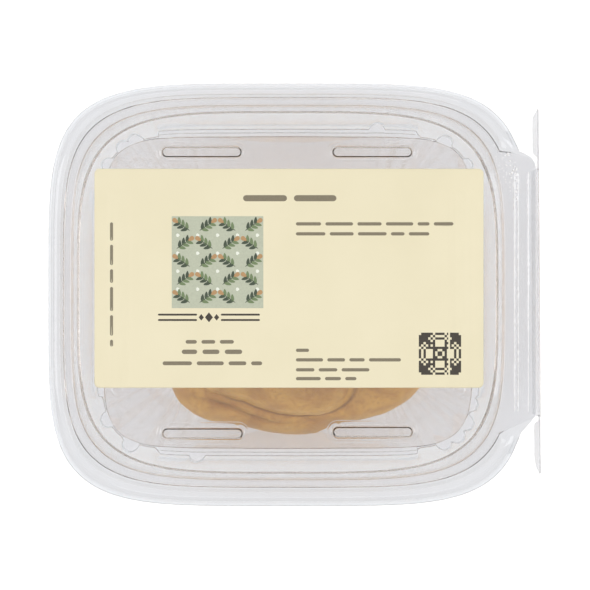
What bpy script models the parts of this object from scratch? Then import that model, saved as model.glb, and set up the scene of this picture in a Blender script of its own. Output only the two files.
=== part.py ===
# Almond paste in a shut clear tub: a formed tub, its lid, the folded tear strip
# that joins them, a paper label on the lid and the lump of paste inside.
# Metres, +Z up. +X points to the tear strip, and the origin is under the pack's middle.

import math

import bmesh
import bpy

MM = 0.001

# Heights of the pack
RIM_HEIGHT = 42.0 * MM       # upper face of the tub's flange
LEDGE_HEIGHT = 29.0 * MM     # stacking ledge in the tub's wall
PLATEAU_HEIGHT = 50.0 * MM   # flat top of the lid
BASE_RECESS = 1.2 * MM       # how far the panel inside the foot is lifted
BEAD_RISE = 2.0 * MM         # the tub's bead over its flange
SKIRT_DROP = 3.5 * MM        # the tub's skirt under its flange
HEEL_RISE = 3.0 * MM         # height of the rounding between foot and wall
MOUTH_ROUND = 1.0 * MM       # depth of the rounding between wall and flange
PLUG_DEPTH = 0.4 * MM        # floor of the lid's groove under the rim

# Formed sheet and the clearance that touching pieces keep
SHEET = 0.5 * MM
GAP = 0.3 * MM

# Outlines seen from above: half length and half width in mm, and a squareness.
# The squareness is a superellipse's exponent: 2 is an ellipse, more is squarer.
FOOT = (42.6, 34.4, 5.5)
WALL_TOP = (50.9, 43.0, 7.0)
MOUTH = (57.1, 49.1, 4.4)
SKIRT = (63.3, 55.6, 4.7)    # inner face of the skirt that hangs from the tub's bead
LID_EDGE = (59.3, 51.7, 4.6)
PLATEAU = (53.9, 46.1, 4.1)
FOOT_WIDTH = 6.0             # mm, the flat ring that the pack stands on

# Ledge in the tub's wall: shelves along the sides and half-round lugs between them
LONG_SHELF = 1.9 * MM
LONG_SHELF_END = 35.0 * MM
SHORT_SHELF = 1.6 * MM
SHORT_SHELF_END = 28.0 * MM
SHELF_RAMP = 2.5 * MM
LEAST_SHELF = 0.2 * MM
LUG_RADIUS = 2.35 * MM
LUG_STAND_OUT = 0.9 * MM     # from the ledge line to the lug's middle
SIDE_LUGS = [(24.4, 43.0), (-24.9, -43.0), (50.8, -29.6)]
CORNER_LUGS = [(41.4, 41.5), (45.9, 38.9), (50.0, 33.9)]

# Hinge tabs on the +X side
TAB_END = 66.4 * MM                      # free edge of the lid's tab
TAB_ZONE = (32.6 * MM, 36.9 * MM)        # half width at its free edge, and at the round corner
TUB_TAB_START = 60.0 * MM
TUB_TAB_END = 65.4 * MM
TUB_TAB_ZONE = (30.0 * MM, 36.0 * MM)
BEAD_ZONE = (37.4 * MM, 39.9 * MM)       # where the tub's bead starts to rise, and is whole

# Tear strip, folded in half along the hinge and run on to two pull tabs
STRIP_SHEET = 0.45 * MM
STRIP_OUTER = 67.2 * MM      # outer face of the strip
STRIP_FOLD = 1.5 * MM        # width over both layers
STRIP_BOTTOM = 31.0 * MM
STRIP_HALF = 33.0 * MM
PULL_ENDS = (-47.6 * MM, 49.7 * MM)
PULL_NECK = 0.8 * MM         # how far the pull tabs lie under the strip's top edge

# Obround stacking ribs on the lid
RIB_LENGTH = 21.4 * MM
RIB_WIDTH = 3.2 * MM
RIB_HEIGHT = 1.2 * MM
RIB_PLACE = (22.3 * MM, 36.7 * MM)

# Paper label, 4 by 2 1/4 inches
LABEL = (101.6 * MM, 57.2 * MM)
LABEL_CENTRE = (0.35 * MM, 3.7 * MM)
LABEL_CORNER = 1.3 * MM
LABEL_SHEET = 0.25 * MM

# Lump of paste: outlines of its footprint and of the flap of dough folded over its front
PASTE = (44.5, 36.3, 2.6)
PASTE_CENTRE = (1.0 * MM, -2.4 * MM)
FLAP = (27.0, 24.0, 2.2)
FLAP_CENTRE = (-3.0 * MM, -9.2 * MM)
PASTE_POINTS = 60

# The strip makes the pack reach further on +X than on -X
CENTRE_SHIFT = -(STRIP_OUTER - SKIRT[0] * MM - SHEET) / 2


def clear_scene():
    for obj in list(bpy.data.objects):
        bpy.data.objects.remove(obj, do_unlink=True)


def make_collection(name, hidden=False):
    collection = bpy.data.collections.new(name)
    collection.hide_render = hidden
    bpy.context.scene.collection.children.link(collection)
    return collection


def material(name, colour, roughness, alpha=1.0):
    made = bpy.data.materials.new(name)
    made.use_nodes = True
    shader = made.node_tree.nodes["Principled BSDF"]
    shader.inputs["Base Color"].default_value = (*colour, 1.0)
    shader.inputs["Roughness"].default_value = roughness
    shader.inputs["Metallic"].default_value = 0.0
    shader.inputs["Alpha"].default_value = alpha
    return made


def smoothstep(value, low, high):
    t = min(max((value - low) / (high - low), 0.0), 1.0)
    return t * t * (3 - 2 * t)


def grown(outline, by):
    """The outline, this many mm larger all round."""
    return outline[0] + by, outline[1] + by, outline[2]


def outline_point(angle, outline):
    """Point of a superellipse at this angle from its middle."""
    half_x, half_y, exponent = outline
    across = (abs(math.cos(angle)) / half_x) ** exponent
    along = (abs(math.sin(angle)) / half_y) ** exponent
    reach = (across + along) ** (-1 / exponent) * MM
    return reach * math.cos(angle), reach * math.sin(angle)


def outline_normal(point, outline):
    half_x, half_y, exponent = outline
    x = math.copysign(abs(point[0] / MM / half_x) ** (exponent - 1) / half_x, point[0])
    y = math.copysign(abs(point[1] / MM / half_y) ** (exponent - 1) / half_y, point[1])
    length = math.hypot(x, y)
    return x / length, y / length


def ring(angles, outline, height):
    return [(*outline_point(angle, outline), height) for angle in angles]


def loft(name, rings, collection, look):
    """A surface through the rings, closed by one flat face inside the first of them."""
    mesh = bpy.data.meshes.new(name)
    bm = bmesh.new()
    loops = [[bm.verts.new(point) for point in points] for points in rings]
    count = len(loops[0])
    bm.faces.new(loops[0])
    for low, high in zip(loops, loops[1:]):
        for i in range(count):
            j = (i + 1) % count
            bm.faces.new((low[i], high[i], high[j], low[j]))
    bmesh.ops.recalc_face_normals(bm, faces=bm.faces)
    bm.to_mesh(mesh)
    bm.free()
    obj = bpy.data.objects.new(name, mesh)
    mesh.materials.append(look)
    collection.objects.link(obj)
    return obj


def face_up(obj, sign):
    """Turns the whole surface so that its flat first face looks up (1) or down (-1)."""
    bm = bmesh.new()
    bm.from_mesh(obj.data)
    bm.faces.ensure_lookup_table()
    if bm.faces[0].normal.z * sign < 0:
        bmesh.ops.reverse_faces(bm, faces=bm.faces)
    bm.to_mesh(obj.data)
    bm.free()


def close(obj):
    """Fills the open end of a loft, and turns its faces out."""
    bm = bmesh.new()
    bm.from_mesh(obj.data)
    bmesh.ops.holes_fill(bm, edges=[edge for edge in bm.edges if edge.is_boundary])
    bmesh.ops.recalc_face_normals(bm, faces=bm.faces)
    bm.to_mesh(obj.data)
    bm.free()


def thicken(obj):
    shell = obj.modifiers.new("sheet", "SOLIDIFY")
    shell.thickness = SHEET
    shell.offset = -1.0
    shell.use_even_offset = True


def unite(obj, other):
    """Joins the other object to this one, and keeps it as a hidden guide."""
    joined = obj.modifiers.new(other.name, "BOOLEAN")
    joined.operation = "UNION"
    joined.object = other
    other.hide_render = True
    other.display_type = "WIRE"


def smooth_round(obj):
    obj.data.shade_smooth()
    obj.data.set_sharp_from_angle(angle=math.radians(35))


def angles_round(count, special):
    """Even angles, with the special ones put in and their near neighbours left out."""
    near = math.radians(1.6)
    even = [2 * math.pi * i / count for i in range(count)]
    kept = [a for a in even if all(abs(math.remainder(a - s, 2 * math.pi)) > near for s in special)]
    return sorted(kept + special)


def lug_places():
    """All lugs, mm: the single ones on the sides and the same three in each corner."""
    places = list(SIDE_LUGS)
    for sign_x in (1, -1):
        for sign_y in (1, -1):
            places += [(sign_x * x, sign_y * y) for x, y in CORNER_LUGS]
    return places


def lug_angles():
    """Five angles over each lug, so that its half round is drawn in every ring."""
    found = []
    for x, y in lug_places():
        middle = math.atan2(y, x) % (2 * math.pi)
        step = LUG_RADIUS / (math.hypot(x, y) * MM)
        found += [middle + step * part for part in (-1.1, -0.75, 0.0, 0.75, 1.1)]
    return found


def hinge_angles(places, reach):
    """Angles on the +X side at these distances either side of the hinge's middle."""
    found = []
    for y in places:
        angle = math.atan2(y, reach)
        found += [angle, 2 * math.pi - angle]
    return found


def shelf_reach(point):
    """How far the flat shelf runs out from the ledge line at this point."""
    x = abs(point[0])
    y = abs(point[1])
    long_side = LONG_SHELF * smoothstep(LONG_SHELF_END - x, 0, SHELF_RAMP)
    short_side = SHORT_SHELF * smoothstep(SHORT_SHELF_END - y, 0, SHELF_RAMP)
    return max(LEAST_SHELF, long_side, short_side)


def lug_reach(point, out):
    """How far a half-round lug runs out from the ledge line, or 0 away from the lugs."""
    reach = 0.0
    for x, y in lug_places():
        away = (x * MM - point[0], y * MM - point[1])
        along = abs(away[0] * out[1] - away[1] * out[0])
        if math.hypot(*away) < 2 * LUG_RADIUS and along < LUG_RADIUS:
            middle = LUG_STAND_OUT + away[0] * out[0] + away[1] * out[1]
            reach = max(reach, middle + math.sqrt(LUG_RADIUS ** 2 - along ** 2))
    return reach


def ledge_ring(angles, height, with_lugs):
    """The ledge's outer edge, at the height of a ring of the wall above it."""
    points = []
    for angle in angles:
        x, y = outline_point(angle, WALL_TOP)
        out = outline_normal((x, y), WALL_TOP)
        reach = shelf_reach((x, y))
        if with_lugs:
            reach = max(reach, lug_reach((x, y), out))
        points.append((x + out[0] * reach, y + out[1] * reach, height))
    return points


def upper_wall_ring(angles, height, mouth_height):
    """The drafted wall above the ledge, with each lug cut upright into it."""
    part = (height - LEDGE_HEIGHT) / (mouth_height - LEDGE_HEIGHT)
    start = ledge_ring(angles, height, False)
    lugs = ledge_ring(angles, height, True)
    end = ring(angles, MOUTH, height)
    points = []
    for low, lug, high in zip(start, lugs, end):
        x = low[0] + part * (high[0] - low[0])
        y = low[1] + part * (high[1] - low[1])
        if math.hypot(lug[0], lug[1]) > math.hypot(x, y):
            x, y = lug[0], lug[1]
        points.append((x, y, height))
    return points


def hinge_share(point, zone):
    """1 along the hinge on the +X side, falling to 0 over the zone at each end."""
    if point[0] < 0:
        return 0.0
    return 1 - smoothstep(abs(point[1]), *zone)


def tab_ring(points, edge, height, out_zone, flat_zone):
    """Moves the hinge stretch of a ring out to a straight tab, flat at this height."""
    moved = []
    for x, y, z in points:
        out = hinge_share((x, y), out_zone)
        flat = hinge_share((x, y), flat_zone)
        moved.append((x + out * (edge - x), y, z + flat * (height - z)))
    return moved


def make_tub(collection, look):
    """Outer face of the sheet, from the panel in the base up and over to the skirt."""
    under_rim = RIM_HEIGHT - SHEET
    mouth_height = under_rim - MOUTH_ROUND
    hinge = hinge_angles([*TUB_TAB_ZONE, *BEAD_ZONE], TUB_TAB_START)
    angles = angles_round(60, lug_angles() + hinge)
    rings = [
        ring(angles, grown(FOOT, -FOOT_WIDTH - 1.5), BASE_RECESS),
        ring(angles, grown(FOOT, -FOOT_WIDTH), 0.0),
        ring(angles, FOOT, 0.0),
        ring(angles, grown(FOOT, 1.8), 0.3 * HEEL_RISE),
        ring(angles, grown(FOOT, 3.0), HEEL_RISE),
        ring(angles, WALL_TOP, LEDGE_HEIGHT - SHEET),
        ledge_ring(angles, LEDGE_HEIGHT, True),
        upper_wall_ring(angles, LEDGE_HEIGHT + 2.6 * MM, mouth_height),
        upper_wall_ring(angles, LEDGE_HEIGHT + 4.6 * MM, mouth_height),
        ring(angles, MOUTH, mouth_height),
        ring(angles, grown(MOUTH, 0.7), under_rim),
    ]
    bead = [
        ring(angles, grown(SKIRT, -3.4), under_rim),
        ring(angles, grown(SKIRT, -2.8), under_rim + 0.8 * BEAD_RISE),
        ring(angles, grown(SKIRT, -2.1), under_rim + BEAD_RISE),
        ring(angles, grown(SKIRT, -0.8), under_rim + 0.6 * BEAD_RISE),
        ring(angles, SKIRT, under_rim - SKIRT_DROP),
    ]
    for i, points in enumerate(bead):
        edge = TUB_TAB_START + (TUB_TAB_END - TUB_TAB_START) * i / (len(bead) - 1)
        rings.append(tab_ring(points, edge, under_rim, TUB_TAB_ZONE, BEAD_ZONE))
    tub = loft("tub", rings, collection, look)
    face_up(tub, -1)
    thicken(tub)
    smooth_round(tub)
    return tub


def make_lid(collection, look, guides):
    """Upper face of the sheet, from the plateau down the dome and the plug to the flange."""
    flange = RIM_HEIGHT + GAP + SHEET
    groove = RIM_HEIGHT - PLUG_DEPTH
    steps = 3
    places = [TAB_ZONE[0] + (TAB_ZONE[1] - TAB_ZONE[0]) * i / steps for i in range(steps + 1)]
    angles = angles_round(64, hinge_angles(places, LID_EDGE[0] * MM))
    edge = ring(angles, LID_EDGE, flange)
    rings = [
        ring(angles, PLATEAU, PLATEAU_HEIGHT),
        ring(angles, grown(PLATEAU, 0.7), PLATEAU_HEIGHT - 0.3 * MM),
        ring(angles, grown(PLATEAU, 1.0), PLATEAU_HEIGHT - 1.1 * MM),
        ring(angles, grown(PLATEAU, 1.3), groove),
        ring(angles, grown(PLATEAU, 1.7), groove),
        ring(angles, grown(PLATEAU, 1.9), flange - 0.4 * MM),
        ring(angles, grown(PLATEAU, 2.4), flange),
        tab_ring(edge, TAB_END, flange, TAB_ZONE, TAB_ZONE),
    ]
    lid = loft("lid", rings, collection, look)
    face_up(lid, 1)
    thicken(lid)
    for sign_x in (1, -1):
        for sign_y in (1, -1):
            unite(lid, make_rib((sign_x * RIB_PLACE[0], sign_y * RIB_PLACE[1]), guides, look))
    smooth_round(lid)
    return lid


def obround(length, width, steps):
    """Outline of a bar with round ends, along X."""
    radius = width / 2
    straight = length / 2 - radius
    points = []
    for side in (0, 1):
        for i in range(steps + 1):
            angle = -math.pi / 2 + math.pi * (side + i / steps)
            middle = straight if side == 0 else -straight
            points.append((middle + radius * math.cos(angle), radius * math.sin(angle)))
    return points


def make_rib(place, collection, look):
    """A raised bar with round ends and a rounded top, sunk into the lid's sheet."""
    levels = [
        (0.0, PLATEAU_HEIGHT - SHEET / 2),
        (0.0, PLATEAU_HEIGHT + 0.6 * RIB_HEIGHT),
        (0.5 * MM, PLATEAU_HEIGHT + RIB_HEIGHT),
    ]
    rings = []
    for inset, height in levels:
        outline = obround(RIB_LENGTH - 2 * inset, RIB_WIDTH - 2 * inset, 6)
        rings.append([(place[0] + x, place[1] + y, height) for x, y in outline])
    rib = loft("rib", rings, collection, look)
    close(rib)
    return rib


def extruded(name, outline, thickness, collection, look):
    """A flat outline in its own XY plane, given a thickness both ways."""
    curve = bpy.data.curves.new(name, "CURVE")
    curve.dimensions = "2D"
    curve.fill_mode = "BOTH"
    curve.extrude = thickness / 2
    spline = curve.splines.new("POLY")
    spline.points.add(len(outline) - 1)
    for point, (x, y) in zip(spline.points, outline):
        point.co = (x, y, 0, 1)
    spline.use_cyclic_u = True
    curve.materials.append(look)
    obj = bpy.data.objects.new(name, curve)
    collection.objects.link(obj)
    return obj


def as_mesh(obj):
    """The curve object made a mesh with its caps welded, under the same name."""
    name = obj.name
    bpy.context.view_layer.update()
    graph = bpy.context.evaluated_depsgraph_get()
    mesh = bpy.data.meshes.new_from_object(obj.evaluated_get(graph))
    bm = bmesh.new()
    bm.from_mesh(mesh)
    bmesh.ops.remove_doubles(bm, verts=bm.verts, dist=0.01 * MM)
    bmesh.ops.recalc_face_normals(bm, faces=bm.faces)
    bm.to_mesh(mesh)
    bm.free()
    made = bpy.data.objects.new(name, mesh)
    made.matrix_world = obj.matrix_world
    for collection in obj.users_collection:
        collection.objects.link(made)
    bpy.data.objects.remove(obj, do_unlink=True)
    made.name = name
    return made


def strip_section():
    """The folded hinge stretch, in X and Z: down the outer layer, round and up the inner one."""
    inner = STRIP_OUTER - STRIP_FOLD
    middle = (STRIP_OUTER + inner) / 2
    round_height = STRIP_BOTTOM + STRIP_FOLD / 2
    top_outer = RIM_HEIGHT + GAP + SHEET
    top_inner = RIM_HEIGHT - 0.1 * MM
    outside = [(STRIP_OUTER, top_outer)]
    inside = [(STRIP_OUTER - STRIP_SHEET, top_outer)]
    steps = 6
    for i in range(steps + 1):
        angle = -math.pi * i / steps
        for points, radius in ((outside, STRIP_FOLD / 2), (inside, STRIP_FOLD / 2 - STRIP_SHEET)):
            x = middle + radius * math.cos(angle)
            points.append((x, round_height + radius * math.sin(angle)))
    outside.append((inner, top_inner))
    inside.append((inner + STRIP_SHEET, top_inner))
    return outside + inside[::-1]


def pull_outline():
    """The outer layer with its two pull tabs, in Y and Z."""
    low, high = PULL_ENDS
    top = RIM_HEIGHT + GAP + SHEET
    bottom = STRIP_BOTTOM + STRIP_FOLD / 2
    return [
        (high, bottom + 4.0 * MM),
        (high, top - 3.4 * MM),
        (high - 3.0 * MM, top - PULL_NECK),
        (STRIP_HALF + 4.0 * MM, top - PULL_NECK),
        (STRIP_HALF + 1.0 * MM, top),
        (-STRIP_HALF - 1.0 * MM, top),
        (-STRIP_HALF - 4.0 * MM, top - PULL_NECK),
        (low + 3.0 * MM, top - PULL_NECK),
        (low, top - 4.4 * MM),
        (low, bottom + 5.0 * MM),
        (low + 2.2 * MM, bottom + 1.2 * MM),
        (low + 5.0 * MM, bottom),
        (high - 5.0 * MM, bottom),
        (high - 1.6 * MM, bottom + 1.4 * MM),
    ]


def make_strip(collection, look, guides):
    """Two layers joined by the fold along the hinge, and the outer one run on to its pull tabs."""
    fold = extruded("tear_strip", strip_section(), 2 * STRIP_HALF, collection, look)
    fold.rotation_euler = (math.pi / 2, 0, 0)
    strip = as_mesh(fold)
    pulls = extruded("pull_tabs", pull_outline(), STRIP_SHEET, guides, look)
    pulls.location = (STRIP_OUTER - STRIP_SHEET / 2, 0, 0)
    pulls.rotation_euler = (math.pi / 2, 0, math.pi / 2)
    unite(strip, as_mesh(pulls))
    return strip


def make_label(collection, look):
    """A rectangle with small round corners, a clearance above the lid's plateau."""
    half_x = LABEL[0] / 2 - LABEL_CORNER
    half_y = LABEL[1] / 2 - LABEL_CORNER
    steps = 4
    outline = []
    for quarter, (sign_x, sign_y) in enumerate([(1, 1), (-1, 1), (-1, -1), (1, -1)]):
        for i in range(steps + 1):
            angle = math.pi / 2 * (quarter + i / steps)
            x = sign_x * half_x + LABEL_CORNER * math.cos(angle)
            outline.append((x, sign_y * half_y + LABEL_CORNER * math.sin(angle)))
    label = extruded("label", outline, LABEL_SHEET, collection, look)
    label.location = (*LABEL_CENTRE, PLATEAU_HEIGHT + GAP + LABEL_SHEET / 2)
    return label


def front_share(angle):
    """1 at the front of the lump, where the flap ends in a crease, and 0 round the back."""
    return smoothstep(-math.sin(angle), -0.35, 0.55)


def swell(angle):
    """The rolled front edge stands out a little, and the flanks beside it fall back."""
    front = math.remainder(angle + math.radians(92), 2 * math.pi)
    right = math.remainder(angle + math.radians(42), 2 * math.pi)
    left = math.remainder(angle + math.radians(143), 2 * math.pi)
    bulge = 0.028 * math.exp(-(front / 0.28) ** 2)
    flanks = 0.02 * math.exp(-(right / 0.3) ** 2) - 0.045 * math.exp(-(left / 0.35) ** 2)
    uneven = 0.01 * math.sin(3 * angle + 0.8) + 0.008 * math.sin(5 * angle + 2.1)
    return 1 + bulge + flanks + uneven


def paste_ring(share, scale, front_height, back_height):
    """One level of the lump, from the flap's outline (share 0) to the footprint's (share 1)."""
    points = []
    for i in range(PASTE_POINTS):
        angle = 2 * math.pi * i / PASTE_POINTS
        flap = outline_point(angle, FLAP)
        foot = outline_point(angle, PASTE)
        grow = scale * (1 + share * (swell(angle) - 1))
        point = [
            (1 - share) * (FLAP_CENTRE[axis] + flap[axis] * scale)
            + share * (PASTE_CENTRE[axis] + foot[axis] * grow)
            for axis in (0, 1)
        ]
        front = front_share(angle)
        height = front * front_height + (1 - front) * back_height
        points.append((*point, height * MM))
    return points


def make_paste(collection, look):
    """A low, squarish lump: a flap of dough lapped over its front, a crease and a roll below."""
    floor = (BASE_RECESS + SHEET + GAP) / MM
    levels = [
        (0.0, 0.30, 40.4, 40.4),
        (0.0, 0.62, 39.9, 40.0),
        (0.0, 0.84, 38.7, 39.3),
        (0.0, 0.96, 36.4, 38.5),
        (0.0, 1.01, 33.2, 37.7),
        (0.12, 1.0, 30.8, 36.7),
        (0.32, 1.0, 30.4, 35.2),
        (0.62, 1.0, 29.2, 32.5),
        (0.88, 1.0, 25.6, 28.3),
        (1.0, 1.0, 20.5, 22.0),
        (1.0, 0.97, 15.0, 15.0),
        (1.0, 0.93, 9.0, 9.0),
        (1.0, 0.87, 4.6, 4.6),
        (1.0, 0.79, floor, floor),
    ]
    paste = loft("almond_paste", [paste_ring(*level) for level in levels], collection, look)
    close(paste)
    smooth_round(paste)
    return paste


def main():
    clear_scene()
    pack = make_collection("almond_paste_pack")
    guides = make_collection("guides", hidden=True)
    clear_plastic = material("clear_plastic", (0.86, 0.87, 0.88), 0.06, alpha=0.35)
    paper = material("label_paper", (0.83, 0.78, 0.58), 0.7)
    dough = material("almond_dough", (0.50, 0.30, 0.13), 0.6)
    pieces = [
        make_tub(pack, clear_plastic),
        make_lid(pack, clear_plastic, guides),
        make_strip(pack, clear_plastic, guides),
        make_label(pack, paper),
        make_paste(pack, dough),
    ]
    centre = bpy.data.objects.new("tub_centre", None)
    pack.objects.link(centre)
    for piece in pieces + list(guides.objects):
        piece.parent = centre
    centre.location = (CENTRE_SHIFT, 0, 0)


main()
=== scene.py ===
import math
import random

import bmesh
import bpy
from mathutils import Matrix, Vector, noise


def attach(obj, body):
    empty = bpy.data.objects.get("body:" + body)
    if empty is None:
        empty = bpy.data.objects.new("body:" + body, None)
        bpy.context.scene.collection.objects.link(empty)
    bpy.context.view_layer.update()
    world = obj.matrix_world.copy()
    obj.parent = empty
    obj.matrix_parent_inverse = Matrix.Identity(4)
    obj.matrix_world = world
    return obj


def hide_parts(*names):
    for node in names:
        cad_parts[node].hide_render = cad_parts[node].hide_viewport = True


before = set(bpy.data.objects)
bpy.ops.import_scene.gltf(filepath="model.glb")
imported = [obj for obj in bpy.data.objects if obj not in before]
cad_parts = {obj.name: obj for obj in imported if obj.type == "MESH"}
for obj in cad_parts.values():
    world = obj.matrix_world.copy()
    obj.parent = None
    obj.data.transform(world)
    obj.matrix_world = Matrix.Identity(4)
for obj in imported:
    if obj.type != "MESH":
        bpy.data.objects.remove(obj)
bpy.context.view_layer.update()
print("frame loaded:", ", ".join(sorted(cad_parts)))

mm = 0.001
packMiddle = -1.7  # mm, the tub's middle: the tear strip makes the pack reach further on +X


def linearColour(hexText):
    channels = [int(hexText[i:i + 2], 16) / 255 for i in (1, 3, 5)]
    return [c / 12.92 if c <= 0.04045 else ((c + 0.055) / 1.055) ** 2.4 for c in channels] + [1.0]


def addNode(tree, kind, settings=None, inputs=None):
    node = tree.nodes.new("ShaderNode" + kind)
    for name, value in (settings or {}).items():
        setattr(node, name, value)
    for name, value in (inputs or {}).items():
        if isinstance(value, bpy.types.NodeSocket):
            tree.links.new(value, node.inputs[name])
        else:
            node.inputs[name].default_value = value
    return node


colourMix = {"data_type": "RGBA"}  # its inputs 6 and 7 are the two colours
softRange = {"interpolation_type": "SMOOTHSTEP"}


def newMaterial(name):
    made = bpy.data.materials.new(name)
    made.use_nodes = True
    made.node_tree.nodes.clear()
    return made, made.node_tree


def addGrain(tree, place, size, height, detail, under=None, roughness=0.5):
    # relief finer than the mesh: the normal of a noise of that size and height in mm
    grain = addNode(tree, "TexNoise", {}, {
        "Vector": place.outputs["Object"], "Scale": 1 / (size * mm), "Detail": detail, "Roughness": roughness})
    inputs = {"Height": grain.outputs["Fac"], "Strength": 1.0, "Distance": height * mm}
    if under:
        inputs["Normal"] = under
    return addNode(tree, "Bump", {}, inputs).outputs["Normal"]


def smoothStep(value, low, high):
    t = min(max((value - low) / (high - low), 0.0), 1.0)
    return t * t * (3 - 2 * t)


def bell(value, middle, width):
    return math.exp(-((value - middle) / width) ** 2)


def outlinePoint(angle, outline):
    halfX, halfY, power = outline  # a superellipse: mm, mm, squareness
    across = (abs(math.cos(angle)) / halfX) ** power
    along = (abs(math.sin(angle)) / halfY) ** power
    reach = (across + along) ** (-1 / power)
    return Vector((reach * math.cos(angle), reach * math.sin(angle)))


def outlineNormal(point, outline):
    halfX, halfY, power = outline
    x = math.copysign(abs(point.x / halfX) ** (power - 1) / halfX, point.x)
    y = math.copysign(abs(point.y / halfY) ** (power - 1) / halfY, point.y)
    return Vector((x, y)).normalized()


def grown(outline, by):
    return outline[0] + by, outline[1] + by, outline[2]


def crossing(point, normal, outline):
    # where the line from point along normal meets the outline
    halfX, halfY, power = outline

    def over(away):
        x, y = point.x + normal.x * away, point.y + normal.y * away
        return ((abs(x) / halfX) ** power + (abs(y) / halfY) ** power) ** (1 / power) - 1

    last, here = 0.0, 1.0
    lastOver, hereOver = over(last), over(here)
    for i in range(8):  # secant steps
        if abs(hereOver - lastOver) < 1e-12:
            break
        step = hereOver * (here - last) / (hereOver - lastOver)
        last, lastOver = here, hereOver
        here -= step
        hereOver = over(here)
    return point + normal * here


def roundedPath(corners, fine=0):
    # corners: (point, radius); each inner corner becomes a short curve of that size
    points = [corner[0] for corner in corners]
    path = [points[0]]
    for before, (corner, radius), after in zip(points, corners[1:-1], points[2:]):
        if radius == 0:
            path.append(corner)
            continue
        steps = (2 if radius < 0.4 else 3) + fine
        back = before - corner
        ahead = after - corner
        start = corner + back * min(0.48, radius / max(back.length, 1e-6))
        end = corner + ahead * min(0.48, radius / max(ahead.length, 1e-6))
        for i in range(steps + 1):
            t = i / steps
            path.append(start * (1 - t) ** 2 + corner * (2 * t * (1 - t)) + end * t ** 2)
    path.append(points[-1])
    return path


def addPiece(name, bm, material, replaced=()):
    # the mesh is made in mm from the tub's middle
    bmesh.ops.scale(bm, vec=(mm, mm, mm), verts=bm.verts)
    bmesh.ops.translate(bm, vec=(packMiddle * mm, 0, 0), verts=bm.verts)
    mesh = bpy.data.meshes.new(name)
    bm.to_mesh(mesh)
    bm.free()
    mesh.materials.append(material)
    mesh.shade_smooth()
    piece = bpy.data.objects.new(name, mesh)
    bpy.context.scene.collection.objects.link(piece)
    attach(piece, "root")
    if replaced:
        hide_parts(*replaced)
    return piece


def skin(bm, columns, closed=True):
    # quads between neighbouring columns of points, which run the same way
    rows = [[bm.verts.new(point) for point in column] for column in columns]
    pairs = list(zip(rows, rows[1:])) + ([(rows[-1], rows[0])] if closed else [])
    for left, right in pairs:
        for i in range(len(left) - 1):
            bm.faces.new((left[i], left[i + 1], right[i + 1], right[i]))
    return rows


def turnUp(bm):
    # the faces of an open sheet are made to look up on the whole
    bmesh.ops.recalc_face_normals(bm, faces=bm.faces)
    if sum(face.normal.z * face.calc_area() for face in bm.faces) < 0:
        bmesh.ops.reverse_faces(bm, faces=bm.faces)


def addSheet(piece, thickness, offset=0.0):
    # thickness in mm; offset -1 lays it behind the faces, and 0 on both sides
    sheet = piece.modifiers.new("sheet", "SOLIDIFY")
    sheet.thickness = thickness * mm
    sheet.offset = offset
    return sheet


def splitEdges(piece):
    # the sheet's cut edges stay crisp, and its formed bends round
    crisp = piece.modifiers.new("crisp cut edges", "EDGE_SPLIT")
    crisp.split_angle = math.radians(62)
    crisp.use_edge_sharp = False


def thicken(piece, thickness, drawn=1.0, thinBelow=0.0, fullAbove=0.0):
    # the drawn share of the thickness is left below the first height (mm), and all of it above the second
    sheet = addSheet(piece, thickness, -1.0)
    if drawn < 1:
        group = piece.vertex_groups.new(name="stillThick")
        for vert in piece.data.vertices:
            group.add([vert.index], smoothStep(vert.co.z / mm, thinBelow, fullAbove), "REPLACE")
        sheet.vertex_group = "stillThick"
        sheet.thickness_vertex_group = drawn
    splitEdges(piece)
    weighted = piece.modifiers.new("flat faces lead", "WEIGHTED_NORMAL")
    weighted.mode = "FACE_AREA"
    weighted.weight = 60
    weighted.keep_sharp = True


# PET, thermoformed: water-clear and glossy, a little wavy from the draw, IOR 1.57.
petSettings = {
    "tint": "#F9F9FA",
    "drawnTint": "#F4F5F7",       # where the sheet is drawn thin, below the rim
    "lowTint": "#F4F5F7",         # below the ledge
    "rimZone": (39.0, 41.5),      # mm up, where one tint passes into the next
    "ledgeZone": (29.4, 30.4),
    "ior": 1.57,
    "roughness": 0.035,
    "shadowTint": "#FEFEFE",      # light that each face lets through to what is below
    "wave": 9.0,                  # mm, the draw's slow waves
    "waveHeight": 0.02,
    "grain": 0.9,                 # mm, the mould's fine texture
    "grainHeight": 0.0012,
    "edgeTint": "#C9B8A2",        # what light takes on where it runs along inside the sheet
    "edgeDensity": 75.0,
}


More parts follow.
